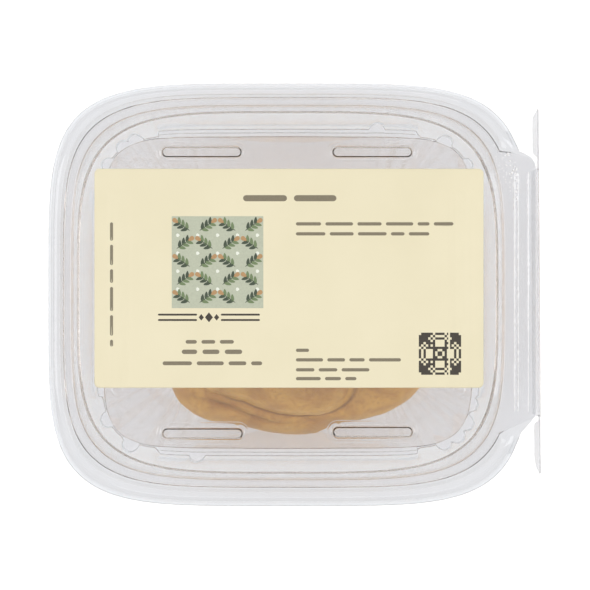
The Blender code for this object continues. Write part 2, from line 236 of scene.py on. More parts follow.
def makePet(name, settings, haze=None):
    made, tree = newMaterial(name)
    place = addNode(tree, "TexCoord")
    waves = addGrain(tree, place, settings["wave"], settings["waveHeight"], 1.0)
    relief = addGrain(tree, place, settings["grain"], settings["grainHeight"], 2.0, waves)
    up = addNode(tree, "SeparateXYZ", {}, {"Vector": place.outputs["Object"]}).outputs["Z"]
    tint = linearColour(settings["lowTint"])
    for zone, above in (("ledgeZone", "drawnTint"), ("rimZone", "tint")):
        low, high = settings[zone]
        share = addNode(tree, "MapRange", {}, {"Value": up, "From Min": low * mm, "From Max": high * mm})
        tint = addNode(tree, "Mix", colourMix, {
            "Factor": share.outputs[0], 6: tint, 7: linearColour(settings[above])}).outputs[2]
    surface = addNode(tree, "BsdfPrincipled", {}, {
        "Base Color": tint, "Roughness": settings["roughness"], "IOR": settings["ior"],
        "Transmission Weight": 1.0, "Normal": relief}).outputs[0]
    if haze:
        surface = addHaze(tree, place, surface, haze)
    passing = addNode(tree, "BsdfTransparent", {}, {"Color": linearColour(settings["shadowTint"])})
    rays = addNode(tree, "LightPath")
    lampOrBounce = addNode(tree, "Math", {"operation": "MAXIMUM"}, {
        0: rays.outputs["Is Shadow Ray"], 1: rays.outputs["Is Diffuse Ray"]})
    mixed = addNode(tree, "MixShader", {}, {0: lampOrBounce.outputs[0], 1: surface, 2: passing.outputs[0]})
    depth = addNode(tree, "VolumeAbsorption", {}, {
        "Color": linearColour(settings["edgeTint"]), "Density": settings["edgeDensity"]})
    addNode(tree, "OutputMaterial", {}, {"Surface": mixed.outputs[0], "Volume": depth.outputs[0]})
    return made


# Draw marks: whitish streaks that fan out to the tub's corners, and faint clouds, below the ledge.
hazeSettings = {
    "most": 0.1,
    "tone": "#FFFFFF",
    "roughness": 0.55,
    "ior": petSettings["ior"],
    "fanMiddle": (27.0, 20.0),    # mm from the tub's middle, in each corner
    "streaks": 8.0,               # in each radian round it
    "streakRange": (0.42, 0.68),
    "cloud": 7.0,                 # mm
    "cloudRange": (0.5, 0.72),
    "cloudShare": 0.6,
    "cornerZone": (-6.0, 2.0),    # mm past the fan's middle, where the haze begins
    "belowZone": (29.0, 28.0),    # mm up
}


def addHaze(tree, place, clear, settings):
    centred = addNode(tree, "VectorMath", {"operation": "SUBTRACT"}, {
        0: place.outputs["Object"], 1: (packMiddle * mm, 0, 0)})
    folded = addNode(tree, "VectorMath", {"operation": "ABSOLUTE"}, {0: centred.outputs[0]})
    fanned = addNode(tree, "VectorMath", {"operation": "SUBTRACT"}, {
        0: folded.outputs[0], 1: [side * mm for side in settings["fanMiddle"]] + [0]})
    whole = addNode(tree, "SeparateXYZ", {}, {"Vector": centred.outputs[0]})
    away = addNode(tree, "SeparateXYZ", {}, {"Vector": fanned.outputs[0]})
    around = addNode(tree, "Math", {"operation": "ARCTAN2"}, {0: away.outputs["Y"], 1: away.outputs["X"]})
    turned = addNode(tree, "Math", {"operation": "MULTIPLY"}, {0: around.outputs[0], 1: settings["streaks"]})
    sideX = addNode(tree, "Math", {"operation": "SIGN"}, {0: whole.outputs["X"]})
    sideY = addNode(tree, "Math", {"operation": "SIGN"}, {0: whole.outputs["Y"]})
    corner = addNode(tree, "Math", {"operation": "MULTIPLY_ADD"}, {0: sideY.outputs[0], 1: 3.0, 2: sideX.outputs[0]})
    streakPlace = addNode(tree, "CombineXYZ", {}, {"X": turned.outputs[0], "Y": corner.outputs[0]})
    streaks = addNode(tree, "TexNoise", {}, {
        "Vector": streakPlace.outputs[0], "Scale": 1.0, "Detail": 2.0, "Roughness": 0.5})
    clouds = addNode(tree, "TexNoise", {}, {
        "Vector": place.outputs["Object"], "Scale": 1 / (settings["cloud"] * mm), "Detail": 4.0,
        "Roughness": 0.65, "Distortion": 0.8})
    least = addNode(tree, "Math", {"operation": "MINIMUM"}, {0: away.outputs["X"], 1: away.outputs["Y"]})
    most = settings["most"]
    shares = []
    for value, zone, unit, full in (
            (streaks.outputs["Fac"], "streakRange", 1.0, most),
            (clouds.outputs["Fac"], "cloudRange", 1.0, settings["cloudShare"] * most),
            (least.outputs[0], "cornerZone", mm, 1.0),
            (whole.outputs["Z"], "belowZone", mm, 1.0)):
        low, high = settings[zone]
        shares.append(addNode(tree, "MapRange", softRange, {
            "Value": value, "From Min": low * unit, "From Max": high * unit, "To Max": full}).outputs[0])
    marks = addNode(tree, "Math", {"operation": "ADD"}, {0: shares[0], 1: shares[1]})
    where = addNode(tree, "Math", {"operation": "MULTIPLY"}, {0: shares[2], 1: shares[3]})
    amount = addNode(tree, "Math", {"operation": "MULTIPLY"}, {0: marks.outputs[0], 1: where.outputs[0]})
    film = addNode(tree, "BsdfPrincipled", {}, {
        "Base Color": linearColour(settings["tone"]), "Roughness": settings["roughness"], "IOR": settings["ior"]})
    return addNode(tree, "MixShader", {}, {0: amount.outputs[0], 1: clear, 2: film.outputs[0]}).outputs[0]


clearPet = makePet("clearFormedPet", petSettings)
# The tub's sheet is tinted greyer than the lid's, most at the rim: painted shade, for the shadow the pack casts on
# the board beneath it. It is faintly blue where it is drawn: PET is toned so, against yellowing. The strip and its
# pull tabs are folded from the same sheet and take a duller look.
tubPet = makePet("clearFormedPetTub", {
    **petSettings, "tint": "#D8DADD", "drawnTint": "#E4EAEF", "lowTint": "#DBDEE2", "edgeDensity": 25.0,
}, hazeSettings)
stripPet, pullPet = (
    makePet(name, {**petSettings, "tint": tint, "drawnTint": tint, "edgeDensity": 12.0})
    for name, tint in (("clearFormedPetStrip", "#EEEFF1"), ("clearFormedPetPull", "#BCBEC2")))


# mm from the tub's middle: half-round denesting lugs on the ledge
lugSettings = {
    "radius": 2.35,
    "sideOut": 0.9,               # from the ledge line to a side lug's middle
    "cornerOut": -1.0,            # from a corner lug's own place, along the line's normal
    "blend": 0.3,
    "sides": [(24.4, 43.0), (-24.9, -43.0)],
    "corners": [
        (-41.9, 41.6), (-45.1, 39.9), (-49.3, 34.9),
        (43.0, 41.3), (49.0, 34.9),
        (-43.3, -41.9), (-49.6, -34.9),
        (42.9, -41.4), (49.2, -35.8), (50.4, -30.6), (46.6, -39.4),
    ],
}

hingeSettings = {
    "lidTabEnd": 66.55,
    "lidTabZone": (32.6, 37.3),   # half width at the free edge, and where the corner meets the rim
    "tubTabStart": 60.0,
    "tubTabEnd": 66.0,
    "beadZone": (37.4, 41.0),     # half width over which the tub's bead flattens out
    "creaseZone": (31.0, 32.4),   # and over which the creases do
}


def zoneShare(point, zone):
    if point.x < 0:
        return 0.0
    return 1 - smoothStep(abs(point.y), *zone)


def tabShare(point):
    # the lid's tab has a round corner at the back, and a straight slant at the front
    inner, outer = hingeSettings["lidTabZone"]
    part = min(max((abs(point.y) - inner) / (outer - inner), 0.0), 1.0)
    if point.x < 0:
        return 0.0
    return math.sqrt(1 - part ** 2) if point.y > 0 else 1 - part


columnSettings = {
    "tried": 2880,                # points round the outline, to find the one that faces a place
    "nearby": 16.0,               # mm
    "rampLine": (51.5, 43.5),     # mm from the middle, where the shelves' ramps are
    "rampSteps": 4,
    "lugSteps": 10,               # to each side of a lug's middle
    "lugShare": 0.105,            # of the lug's radius in each step
    "hingeSteps": 24,
    "hingeZone": (31.5, 40.5),    # mm, half width
    "least": 3.2e-3,              # radians between two columns
}


def denseAngles(outline, settings):
    # where the columns have to stand close: the ramps at the shelves' ends, and the lugs
    table = []
    for i in range(settings["tried"]):
        angle = 2 * math.pi * i / settings["tried"]
        point = outlinePoint(angle, outline)
        table.append((angle, point, outlineNormal(point, outline)))
    aims = []
    farX, farY = settings["rampLine"]
    for i in range(settings["rampSteps"] + 1):
        x, y = (end - ramp * i / settings["rampSteps"] for reach, end, ramp in (
            tubSettings["longShelf"], tubSettings["shortShelf"]))
        for signX, signY in ((1, 1), (-1, 1), (-1, -1), (1, -1)):
            aims.append(Vector((signX * x, signY * farY)))
            aims.append(Vector((signX * farX, signY * y)))
    for x, y in lugSettings["sides"] + lugSettings["corners"]:
        lug = Vector((x, y))
        sideways = outlineNormal(lug, tubSettings["wallTop"]).orthogonal()
        for i in range(-settings["lugSteps"], settings["lugSteps"] + 1):
            aims.append(lug + sideways * (settings["lugShare"] * lugSettings["radius"] * i))
    angles = []
    for aim in aims:
        near = [entry for entry in table if (entry[1] - aim).length < settings["nearby"]]
        angles.append(min(near, key=lambda entry: abs((aim - entry[1]).cross(entry[2])))[0])
    return angles


def packColumns(outline, count, lugs=True):
    # points round the outline and their normals, closer together over the lugs and at the hinge's ends
    settings = columnSettings
    special = denseAngles(outline, settings) if lugs else []
    low, high = settings["hingeZone"]
    for i in range(settings["hingeSteps"] + 1):
        angle = math.atan2(low + (high - low) * i / settings["hingeSteps"], outline[0])
        special += [angle, -angle]
    special = sorted(a % (2 * math.pi) for a in special)
    evenly = [2 * math.pi * i / count for i in range(count)]
    kept = [a for a in evenly if all(abs(math.remainder(a - s, 2 * math.pi)) > math.pi / count for s in special)]
    merged = sorted(kept + special)
    nextOnes = merged[1:] + [merged[0] + 2 * math.pi]
    points = [outlinePoint(a, outline) for a, b in zip(merged, nextOnes) if b - a > settings["least"]]
    return [(point, outlineNormal(point, outline)) for point in points]


tubSettings = {                       # mm; each outline is half X, half Y and squareness
    "sheet": 0.42,
    "drawnSheet": 0.42,            # share of it that is left where the sheet is drawn deep
    "foot": (42.6, 34.4, 5.5),
    "wallTop": (50.7, 42.8, 7.0),
    "mouth": (57.6, 49.9, 4.45),
    "skirt": (64.0, 56.45, 4.7),
    "skirtShift": -0.6,               # the rim sits a little towards the front
    "panel": 1.7,                     # heights
    "floor": 0.4,
    "ledge": 29.0,
    "rim": 42.0,
    "drawnZone": (33.0, 42.0),        # from the drawn thickness up to the whole one
    "baseEdges": [(-9.5, "panel", 0), (-7.9, "panel", 0.8), (-6.5, "floor", 0.7), (0.7, "floor", 2.6)],
    "wallStart": 1.6,                 # out from the foot's outline
    "wallRows": (0.14, 0.3, 0.45, 0.6, 0.75, 0.88),
    "upperRows": (30.6, 31.4, 32.2, 33.0, 33.8, 34.6, 35.6, 37.2, 39.4),
    "evenZone": (29.8, 36.0),
    "longShelf": (1.8, 35.7, 0.6),   # reach, half length, ramp
    "shortShelf": (1.7, 28.7, 0.6),
    "leastShelf": 0.25,
    "evenWall": 1.0,                  # the wall over shelves and corners runs into this reach higher up
    "shelfStep": (0.95, 0.22, 0.8),   # a low step along the long shelf: its place, rise and ramp
    "ledgeRadius": 0.4,
    "shelfRadius": 0.12,
    "wallFoot": 0.9,                  # the wall stands upright over this height above the shelf
    "mouthRadius": 0.8,
    "fluteCount": 5,                  # in each corner of the lower wall
    "fluteDepth": 0.32,
    "fluteSpan": 0.3,                 # radians to each side of the corner
    "rimEdges": [                     # out from the rim's outline, height and radius: bead, then the slant
        (-4.3, 42.0, 0.45), (-3.6, 43.1, 0.45), (-2.4, 43.25, 0.6), (-1.1, 42.2, 0.6), (0.0, 40.4, 0),
    ],
    "count": 250,
}


def shelfReach(point, settings):
    reach, end, ramp = settings["longShelf"]
    longSide = reach * smoothStep(end - abs(point.x), 0, ramp) * (abs(point.y) > 30)
    reach, end, ramp = settings["shortShelf"]
    shortSide = reach * smoothStep(end - abs(point.y), 0, ramp) * (abs(point.x) > 40)
    return max(settings["leastShelf"], longSide, shortSide)


def lugReach(point, normal):
    # how far a lug's round wall stands from the ledge line here
    radius = lugSettings["radius"]
    reach = 0.0
    for places, standOut in ((lugSettings["sides"], lugSettings["sideOut"]),
                             (lugSettings["corners"], lugSettings["cornerOut"])):
        for x, y in places:
            away = Vector((x, y)) - point
            along = abs(away.x * normal.y - away.y * normal.x)
            if away.length < 6 and along < radius:
                out = away.dot(normal) if standOut < 0 else 0.0
                reach = max(reach, standOut + out + math.sqrt(radius ** 2 - along ** 2))
    return reach


def softMax(a, b, blend):
    return (a + b + math.sqrt((a - b) ** 2 + blend ** 2)) / 2


def fluteWave(angle, settings):
    # shallow flutes over the corners of the lower wall
    corner = math.atan2(settings["wallTop"][1], settings["wallTop"][0])
    away = abs(math.remainder(angle, math.pi)) - corner
    span = settings["fluteSpan"]
    if abs(away) > span:
        return 0.0
    return math.cos(math.pi * settings["fluteCount"] * away / span) * math.cos(math.pi / 2 * away / span) ** 2


def tubColumn(place, settings):
    mouth, normal = place
    foot, wallTop, skirt = (settings[k] for k in ("foot", "wallTop", "skirt"))
    ledge, rim = settings["ledge"], settings["rim"]
    line = crossing(mouth, normal, wallTop)
    angle = math.atan2(line.y, line.x)
    corners = []

    def add(point, height, radius=0):
        corners.append((Vector((point.x, point.y, height)), radius))

    for by, level, radius in settings["baseEdges"]:
        add(outlinePoint(angle, grown(foot, by)), settings[level], radius)
    wave = fluteWave(angle, settings)
    low = outlinePoint(angle, grown(foot, settings["wallStart"]))
    for part in settings["wallRows"]:  # the drafted lower wall with its corner flutes
        point = low.lerp(line, part)
        depth = settings["fluteDepth"] * wave * math.sin(math.pi * part) ** 0.7
        point += outlineNormal(point, wallTop) * depth
        add(point, settings["floor"] + part * (ledge - settings["floor"]))
    add(outlinePoint(angle, wallTop), ledge, settings["ledgeRadius"])
    out = outlineNormal(line, wallTop)
    shelf = shelfReach(line, settings)
    lug = lugReach(line, out)
    reach = max(shelf, lug)
    stepPlace, stepRise, stepRamp = settings["shelfStep"]
    floor = ledge + stepRise * smoothStep(shelf, stepPlace, stepPlace + stepRamp) * (abs(line.y) > 30)
    start = min(stepPlace, 0.5 * reach)
    wallFoot = settings["wallFoot"]
    for away, height, radius in ((start, ledge, 0), (1.1 * start, floor, 0), (reach, floor, settings["shelfRadius"]),
                                 (reach + 0.04 * wallFoot, floor + wallFoot, 0.3)):
        add(line + out * away, height, radius)
    pocket = line + out * lug
    for height in settings["upperRows"]:
        even = smoothStep(height, *settings["evenZone"])
        wallStart = line + out * (shelf + even * (settings["evenWall"] - shelf))
        point = wallStart.lerp(mouth, (height - ledge) / (rim - ledge))
        if lug > 0:
            further = (pocket - point).dot(out)
            point += out * max(0.0, softMax(further, 0.0, lugSettings["blend"]) - 0.03)
        add(point, height)
    add(mouth, rim, settings["mouthRadius"])
    edges = settings["rimEdges"]  # moved out to a flat tab at the hinge
    for i, (by, height, radius) in enumerate(edges):
        part = i / (len(edges) - 1)
        point = crossing(mouth, normal, grown(skirt, by))
        point.y += settings["skirtShift"] * part
        tab = tabShare(point)
        flat = zoneShare(point, hingeSettings["beadZone"])
        edge = hingeSettings["tubTabStart"] * (1 - part) + hingeSettings["tubTabEnd"] * part
        point.x += tab * (edge - point.x)
        add(point, height + flat * (rim - height), radius)
    return roundedPath(corners)


bm = bmesh.new()
places = packColumns(tubSettings["mouth"], tubSettings["count"])
rows = skin(bm, [tubColumn(place, tubSettings) for place in places])
bm.faces.new([row[0] for row in rows])
turnUp(bm)  # so that the sheet grows down and out
tub = addPiece("tubShell", bm, tubPet, ["tub"])
thicken(tub, tubSettings["sheet"], tubSettings["drawnSheet"], *tubSettings["drawnZone"])
print("tub made:", len(tub.data.polygons), "faces")


lidSettings = {                    # mm, as above
    "sheet": 0.56,
    "plateau": (54.9, 47.3, 4.1),
    "base": (57.2, 49.5, 4.45),
    "plateauRadius": 0.54,
    "plateauRows": (2.2, 0.9),     # mm inside the plateau's outline
    "sideRounder": 1.1,            # the plateau's edge is rounder by this share on the left and right,
    "sideZone": (0.6, 0.95),       # where the outline's normal has this much of X
    "baseRadius": 0.95,
    "edge": (59.2, 51.35, 4.6),
    "top": 50.0,
    "flange": 42.85,
    "lip": 0.25,                   # the flange's edge is turned up a little
    "count": 460,
    "ribs": [  # middle x, middle y, length, width, height, turned
        (-22.4, 36.6, 21.2, 3.1, 1.15, False), (22.1, 36.6, 21.2, 3.1, 1.15, False),
        (-22.2, -36.8, 21.4, 3.1, 1.15, False), (22.2, -36.4, 21.2, 3.1, 1.15, False),
        (-44.5, -0.6, 53.0, 3.0, 0.3, True), (44.9, -0.6, 53.0, 3.0, 0.3, True),
    ],
    "ribFoot": 1.5,               # mm that the rib's foot fillet reaches outside its wall
    "tabPull": (0.75, 0.3),       # share by which the flange's start moves to this far short of the creases
    # hinge tab: x of each crease's foot, top and foot, and its height
    "creases": [(60.0, 0.0), (60.28, 0.15), (60.56, 0.0), (60.94, 0.0), (61.22, 0.15), (61.5, 0.0),
                (63.6, 0.0), (63.92, 0.17), (64.24, 0.0)],
}


def obround(length, width, by, steps=14):
    radius = width / 2 + by
    straight = (length - width) / 2
    points = []
    for side in (0, 1):
        for i in range(steps + 1):
            angle = -math.pi / 2 + math.pi * (side + i / steps)
            middle = straight if side == 0 else -straight
            points.append((middle + radius * math.cos(angle), radius * math.sin(angle)))
    return points


def lidColumn(place, settings):
    base, normal = place
    edge, flange = settings["edge"], settings["flange"]
    first, second = settings["plateauRows"]
    inward = crossing(base, normal, grown(settings["plateau"], -first))
    plateau = crossing(base, normal, settings["plateau"])
    inner = crossing(base, normal, grown(edge, -0.1))
    outer = crossing(base, normal, edge)
    share = tabShare(outer)
    sideShare = settings["sideRounder"] * smoothStep(abs(normal.x), *settings["sideZone"])
    ridges = zoneShare(outer, hingeSettings["creaseZone"])
    pull, short = settings["tabPull"]
    inner.x += pull * share * (settings["creases"][0][0] - short - inner.x)
    corners = [
        (Vector((*inward, settings["top"])), 0),
        (Vector((*(plateau - normal * second), settings["top"])), 0),
        (Vector((*plateau, settings["top"])), settings["plateauRadius"] * (1 + sideShare)),
        (Vector((*base, flange)), settings["baseRadius"]),
        (Vector((*inner, flange)), 0),
    ]
    for i, (x, rise) in enumerate(settings["creases"]):
        part = (i + 1) / (len(settings["creases"]) + 1)
        point = inner.lerp(outer, part)
        point.x += share * (x - point.x)
        lift = rise * ridges + settings["lip"] * (1 - share) * part
        corners.append((Vector((*point, flange + lift)), 0))
    outer.x += share * (hingeSettings["lidTabEnd"] - outer.x)
    corners.append((Vector((*outer, flange + settings["lip"] * (1 - share))), 0))
    return roundedPath(corners, 5)


def addRib(bm, rib, top, foot):
    # returns the foot's outer loop; the rib rises by a concave foot and a rounded shoulder
    x, y, length, width, height, turned = rib
    foot *= 0.35 + 0.65 * min(height, 1.0)
    profile = [  # mm out from the rib's wall, and share of its height
        (foot, 0.0), (foot - 0.1, 0.03), (foot - 0.28, 0.1), (0.6 * foot, 0.115), (0.34 * foot, 0.15),
        (0.14 * foot, 0.26), (0.02, 0.48), (-0.1, 0.74), (-0.28, 0.91), (-0.55, 0.985), (-0.9, 1.0),
    ]
    loops = []
    for by, rise in profile:
        loop = []
        for across, along in obround(length, width, by):
            place = (x - along, y + across) if turned else (x + across, y + along)
            loop.append(bm.verts.new((*place, top + height * rise)))
        loops.append(loop)
    for low, high in zip(loops, loops[1:]):
        for i in range(len(low)):
            j = (i + 1) % len(low)
            bm.faces.new((low[i], low[j], high[j], high[i]))
    bm.faces.new(loops[-1])
    return loops[0]


def loopEdges(bm, loop):
    edges = []
    for a, b in zip(loop, loop[1:] + loop[:1]):
        edges.append(bm.edges.get((a, b)) or bm.edges.new((a, b)))
    return edges


bm = bmesh.new()
places = packColumns(lidSettings["base"], lidSettings["count"], False)
rows = skin(bm, [lidColumn(place, lidSettings) for place in places])
rim = loopEdges(bm, [row[0] for row in rows])
for rib in lidSettings["ribs"]:
    rim += loopEdges(bm, addRib(bm, rib, lidSettings["top"], lidSettings["ribFoot"]))
bmesh.ops.triangle_fill(bm, use_beauty=True, use_dissolve=False, edges=rim)
turnUp(bm)
lid = addPiece("lidShell", bm, clearPet, ["lid"])
thicken(lid, lidSettings["sheet"])
print("lid made:", len(lid.data.polygons), "faces")


stripSettings = {
    "sheet": 0.22,
    "outer": 67.05,
    "slant": -0.006,      # the fold isn't quite in line with the pack
    "fold": 0.6,
    "top": 42.85,
    "bottom": 31.0,
    "half": 33.0,
    "rows": 66,
    "pullEnds": (-48.4, 49.0),
    "pullBottom": 33.0,
    "pullInward": 0.2,    # mm from the strip's outer face
}


def stripPath(y, settings):
    # middle of the sheet in X and Z: out from the lid's tab, down, round the fold and up to the tub's tab
    outer = settings["outer"] + settings["slant"] * y - settings["sheet"] / 2
    inner = outer - settings["fold"] + settings["sheet"]
    low = settings["bottom"] + settings["fold"] / 2
    top = settings["top"] - settings["sheet"] / 2
    return [
        (Vector((hingeSettings["lidTabEnd"] + 0.02, y, top)), 0),
        (Vector((outer, y, top)), 0.2),
        (Vector((outer, y, low)), 0.9),
        (Vector(((outer + inner) / 2, y, settings["bottom"] + settings["sheet"] / 2)), 0.5),
        (Vector((inner, y, low)), 0.9),
        (Vector((inner, y, top - 0.9)), 0.3),
        (Vector((hingeSettings["tubTabEnd"] + 0.05, y, top - 0.95)), 0),
    ]


def pullOutline(settings):
    # Y and Z of the pull tabs at the strip's two ends: a narrow neck, then the tab
    low, high = settings["pullEnds"]
    top, bottom, half = settings["top"] - 0.3, settings["pullBottom"], settings["half"]
    upper = [
        (half - 0.3, top), (high, top), (high - 1.5, bottom), (half + 5.0, bottom), (half + 3.0, top - 1.8),
        (half - 0.3, top - 1.8),
    ]
    lower = [
        (-half + 0.3, top), (low, top), (low + 1.2, bottom + 3.0), (low + 3.4, bottom), (-half - 2.6, bottom),
        (-half - 1.2, top - 1.8), (-half + 0.3, top - 1.8),
    ]
    return upper, lower


bm = bmesh.new()
half = stripSettings["half"]
columns = []
for i in range(stripSettings["rows"] + 1):
    y = -half + 2 * half * i / stripSettings["rows"]
    columns.append(roundedPath(stripPath(y, stripSettings), 1))
skin(bm, columns, closed=False)
bmesh.ops.recalc_face_normals(bm, faces=bm.faces)
strip = addPiece("tearStrip", bm, stripPet, ["tear_strip"])
addSheet(strip, stripSettings["sheet"]).use_even_offset = True
splitEdges(strip)

bm = bmesh.new()
outer, slant = stripSettings["outer"] - stripSettings["pullInward"], stripSettings["slant"]
for outline in pullOutline(stripSettings):
    path = roundedPath([(Vector((outer + slant * y, y, z)), 0.9) for y, z in outline], 1)
    face = bm.faces.new([bm.verts.new(point) for point in path])
    if face.normal.x < 0:
        face.normal_flip()
bm.normal_update()
pulls = addPiece("pullTabs", bm, pullPet)
addSheet(pulls, stripSettings["sheet"])
splitEdges(pulls)
print("tear strip made")


# PET that was pierced and folded turns white: it scatters, though the sheet round it stays clear. The white here is
# also painted highlight, for the glints on the hinge's crimps and creases.
dotSettings = {
    "tone": "#FFFFFF",
    "dullTone": "#F4F4F6",
    "cloud": 0.3,          # mm
    "roughness": 0.4,
    "height": 0.1,
    "sunk": -0.03,         # mm, edges of the folds' ridges under the sheet's face
    "raised": 0.07,        # and their crests over it
    "columns": [  # x, lowest and highest y, dots, least and greatest radius
        (60.15, 22.0, 34.6, 17, 0.10, 0.22), (60.95, 23.0, 33.6, 14, 0.09, 0.2),
        (63.75, 21.0, 32.4, 15, 0.08, 0.17), (59.2, 27.0, 35.0, 9, 0.07, 0.16),
        (57.6, 29.0, 38.5, 16, 0.05, 0.13), (55.6, 31.0, 39.5, 14, 0.05, 0.12),
        (60.3, 2.0, 21.0, 16, 0.06, 0.12), (63.8, 4.0, 20.0, 12, 0.05, 0.1), (61.3, -20.0, 1.0, 9, 0.05, 0.1),
    ],
    "large": [  # x, y, radius
        (58.6, 36.8, 0.42), (59.0, 34.9, 0.3), (59.6, 31.8, 0.34), (61.1, 30.2, 0.26), (60.0, 28.6, 0.24),
    ],
    "spread": 0.5,
    # the creases' white ridges are partly painted highlight
    "folds": [(60.28, 0.19), (61.22, 0.16), (63.92, 0.21)],  # x of each whitened crease, and its half width
    "foldReach": 31.6,
    "foldSteps": 160,
}

# white of stress-whitened PET, and painted highlight for the glints
whiteAndGlintPet, tree = newMaterial("whitenedPetAndPaintedGlints")
place = addNode(tree, "TexCoord")
cloud = addNode(tree, "TexNoise", {}, {
    "Vector": place.outputs["Object"], "Scale": 1 / (dotSettings["cloud"] * mm), "Detail": 2.0})
tone = addNode(tree, "Mix", colourMix, {
    "Factor": cloud.outputs["Fac"], 6: linearColour(dotSettings["dullTone"]), 7: linearColour(dotSettings["tone"])})
scatter = addNode(tree, "BsdfPrincipled", {}, {
    "Base Color": tone.outputs[2], "Roughness": dotSettings["roughness"], "IOR": petSettings["ior"]})
addNode(tree, "OutputMaterial", {}, {"Surface": scatter.outputs[0]})


def tabHeight(x, y):
    # top of the lid's tab with its creases
    for (low, before), (high, after) in zip(lidSettings["creases"], lidSettings["creases"][1:]):
        if low <= x <= high:
            rise = before + (after - before) * (x - low) / (high - low)
            return lidSettings["flange"] + rise * (1 - smoothStep(abs(y), *hingeSettings["creaseZone"]))
    return lidSettings["flange"]


def addDot(bm, x, y, radius, height, base):
    rings = []
    for share, rise in ((1.0, 0.0), (0.75, 0.6), (0.35, 0.93)):
        ring = []
        for k in range(8):
            turn = k * math.pi / 4
            place = x + share * radius * math.cos(turn), y + share * radius * math.sin(turn)
            ring.append(bm.verts.new((*place, base + rise * height)))
        rings.append(ring)
    for low, high in zip(rings, rings[1:]):
        for k in range(8):
            bm.faces.new((low[k], low[(k + 1) % 8], high[(k + 1) % 8], high[k]))
    bm.faces.new(rings[-1])
    bm.faces.new(rings[0][::-1])


bm = bmesh.new()
draw = random.Random(11)
dots = list(dotSettings["large"])
for x, low, high, count, least, most in dotSettings["columns"]:
    spread = dotSettings["spread"] * (3 if x < 59 else 1)
    for i in range(count):
        y = low + (high - low) * (i + draw.random()) / count
        dots.append((x + draw.uniform(-0.5, 0.5) * spread, y, 1.5 * draw.uniform(least, most)))
for x, y, radius in dots:
    addDot(bm, x, y, radius, dotSettings["height"] + 0.4 * radius, tabHeight(x, y) + 0.02)
half, low, high = dotSettings["foldSteps"] // 2, dotSettings["sunk"], dotSettings["raised"]
for x, halfWidth in dotSettings["folds"]:  # a low ridge on each crease, of uneven width
    columns = []
    for i in range(dotSettings["foldSteps"] + 1):
        y = dotSettings["foldReach"] * (i / half - 1)
        ragged = abs(noise.noise(Vector((x, y / 1.7, 0))))
        width = halfWidth * (0.35 + 1.3 * ragged + 0.35 * smoothStep(y, -30, 25))
        middle = x + 0.06 * noise.noise(Vector((x, y / 9, 5)))
        top = tabHeight(middle, y)
        columns.append([(middle - width, y, top + low), (middle, y, top + high), (middle + width, y, top + low)])
    skin(bm, columns, closed=False)
addPiece("piercedDotsAndGlints", bm, whiteAndGlintPet)
print("pierced dots made")


pasteSettings = {
    "foot": (44.5, 36.3, 2.6),  # the lump's widest outline
    "footMiddle": Vector((1.0, -2.4)),
    "flap": (24.0, 21.0, 2.1),  # the flap of dough lapped over its front
    "flapMiddle": Vector((-1.0, -12.0)),
    # the front's outlines in mm: the foot's, and the flap's free edge
    "footFront": [(-32.5, -26.8), (-30.3, -30.8), (-26.7, -33.9), (-22.3, -35.7), (-16.0, -36.7), (-10.7, -37.7),
                  (-2.3, -39.3), (2.5, -39.6), (7.6, -39.0), (11.7, -37.0), (15.1, -36.1), (20.4, -35.4),
                  (27.3, -33.4), (31.9, -31.1), (36.5, -27.1)],
    "flapFront": [(-21.5, -25.8), (-16.2, -27.4), (-11.1, -28.7), (-5.4, -31.5), (0.6, -32.7), (5.7, -33.1),
                  (10.3, -32.6), (13.0, -31.0), (15.1, -28.9), (16.2, -25.8), (17.0, -21.0)],
    "frontEase": 0.5,  # radians past the measured points
    "lumps": [(0.55, 13.0, 0.0), (0.28, 5.5, 40.0), (0.10, 2.1, 80.0)],  # height, size, and place in the noise
    "columns": 300,
    "rowsPerLevel": 9,
    # share of the foot's outline, scale, height at the front, height at the back
    "levels": [
        (0.0, 0.02, 40.4, 40.4), (0.0, 0.30, 40.3, 40.3), (0.0, 0.62, 39.8, 39.9), (0.0, 0.84, 38.5, 39.2),
        (0.0, 0.96, 36.2, 38.4), (0.0, 1.01, 33.2, 37.6), (0.12, 1.0, 30.9, 36.6), (0.32, 1.0, 30.5, 35.1),
        (0.62, 1.0, 29.2, 32.4), (0.88, 1.0, 25.6, 28.2), (1.0, 1.0, 20.5, 21.9), (1.0, 0.97, 15.0, 15.0),
        (1.0, 0.93, 9.0, 9.0), (1.0, 0.87, 4.6, 4.6), (1.0, 0.79, 2.3, 2.3),
    ],
}

# Marzipan-like dough: ground almonds and sugar kneaded smooth, tan, faintly oily, soft light inside.
doughSettings = {
    "light": "#D1A150",
    "mid": "#BA8842",
    "dark": "#A0692F",
    # painted shade: the colour that the creases, the hollow under the flap's edge and the front roll are darkened
    # towards
    "fold": "#7A4A1C",
    "ior": 1.46,
    "roughness": 0.52,
    "patch": 11.0,     # mm, kneaded streaks
    "patchRange": (0.36, 0.62),
    "grit": 0.55,      # mm, ground almond drawn coarser than its 0.2 mm
    "gritHeight": 0.05,
    "speck": 0.88,     # mm
    "speckRange": (0.5, 0.7),
    "speckShare": 0.4,
}


